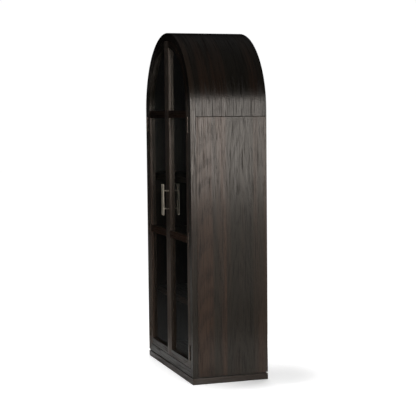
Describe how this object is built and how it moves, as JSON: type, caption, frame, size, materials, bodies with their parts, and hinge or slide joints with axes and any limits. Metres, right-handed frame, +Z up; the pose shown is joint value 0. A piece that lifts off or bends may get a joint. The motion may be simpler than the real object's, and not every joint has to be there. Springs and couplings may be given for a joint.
{
  "type": "china cabinet with glass doors",
  "caption": "Tall arched china cabinet in dark stained oak: framed, glazed inset doors that swing open on butt hinges, bar handles, fixed and adjustable shelves, shadow-gap plinth.",
  "frame": {"origin": "on the floor, below the middle of the overall box, handles included", "axes": "+Z up, the doors face -Y, +X is the cabinet's right-hand side seen from the front"},
  "size_m": [1.09, 0.5845, 2.4],
  "materials": {
    "case_oak": "espresso stain under satin lacquer, open grain",
    "door_oak": "espresso stain under satin lacquer, open grain",
    "shelf_oak": "espresso stain under matt lacquer",
    "back_board": "stained veneer board",
    "hidden_wood": "bare softwood",
    "clear_glass": "clear float glass, polished",
    "pale_brass": "brushed champagne",
    "dark_bronze": "oil-rubbed bronze, satin",
    "steel_fittings": "zinc plated",
    "dark_plastic": "moulded, satin"
  },
  "bodies": {
    "carcass": {"plinth_front": "case_oak", "plinth_back": "case_oak", "plinth_sides": "case_oak", "base_deck": "case_oak", "bottom_bearers": "hidden_wood", "bottom_panel": "shelf_oak", "side_panel_right": "case_oak", "side_panel_left": "case_oak", "top_shell": "case_oak", "back_panel": "back_board", "back_panel_screws": "steel_fittings", "wall_fixing_rail": "shelf_oak", "frame_stile_right": "case_oak", "frame_stile_left": "case_oak", "frame_bottom_rail": "case_oak", "frame_arch": "case_oak", "middle_fixed_shelf": "shelf_oak", "upper_fixed_shelf": "shelf_oak", "shelf_dowels": "hidden_wood", "shelf_pins": "steel_fittings", "door_stop_strip": "shelf_oak", "magnetic_catches": "dark_plastic", "hinge_frame_leaves": "dark_bronze", "hinge_pins": "dark_bronze", "hinge_frame_screws": "dark_bronze"},
    "right_door": {"right_door_outer_stile": "door_oak", "right_door_arch_rail": "door_oak", "right_door_meeting_stile": "door_oak", "right_door_bottom_rail": "door_oak", "right_door_lower_mid_rail": "door_oak", "right_door_upper_mid_rail": "door_oak", "right_door_lower_glass": "clear_glass", "right_door_middle_glass": "clear_glass", "right_door_upper_glass": "clear_glass", "right_door_glass_beads": "door_oak", "right_door_handle_bar": "pale_brass", "right_door_handle_posts": "pale_brass", "right_door_handle_screws": "steel_fittings", "right_door_hinge_leaves": "dark_bronze", "right_door_hinge_screws": "dark_bronze", "right_door_strike_plates": "steel_fittings"},
    "left_door": {"left_door_outer_stile": "door_oak", "left_door_arch_rail": "door_oak", "left_door_meeting_stile": "door_oak", "left_door_bottom_rail": "door_oak", "left_door_lower_mid_rail": "door_oak", "left_door_upper_mid_rail": "door_oak", "left_door_lower_glass": "clear_glass", "left_door_middle_glass": "clear_glass", "left_door_upper_glass": "clear_glass", "left_door_glass_beads": "door_oak", "left_door_handle_bar": "pale_brass", "left_door_handle_posts": "pale_brass", "left_door_handle_screws": "steel_fittings", "left_door_hinge_leaves": "dark_bronze", "left_door_hinge_screws": "dark_bronze", "left_door_strike_plates": "steel_fittings"},
    "lower_shelf": {"lower_adjustable_shelf": "shelf_oak"},
    "upper_shelf": {"upper_adjustable_shelf": "shelf_oak"}
  },
  "joints": [
    {"name": "right_door_hinge", "type": "hinge", "parent": "carcass", "child": "right_door", "pos_m": [0.4935, -0.25575, 0.984], "axis": [0, 0, 1], "range_deg": [0, 110]},
    {"name": "left_door_hinge", "type": "hinge", "parent": "carcass", "child": "left_door", "pos_m": [-0.4935, -0.25575, 0.984], "axis": [0, 0, -1], "range_deg": [0, 110]},
    {"name": "lower_shelf_lift", "type": "slide", "parent": "carcass", "child": "lower_shelf", "axis": [0, 0, 1], "range_m": [0, 0.032]},
    {"name": "upper_shelf_lift", "type": "slide", "parent": "carcass", "child": "upper_shelf", "axis": [0, 0, 1], "range_m": [0, 0.032]}
  ]
}
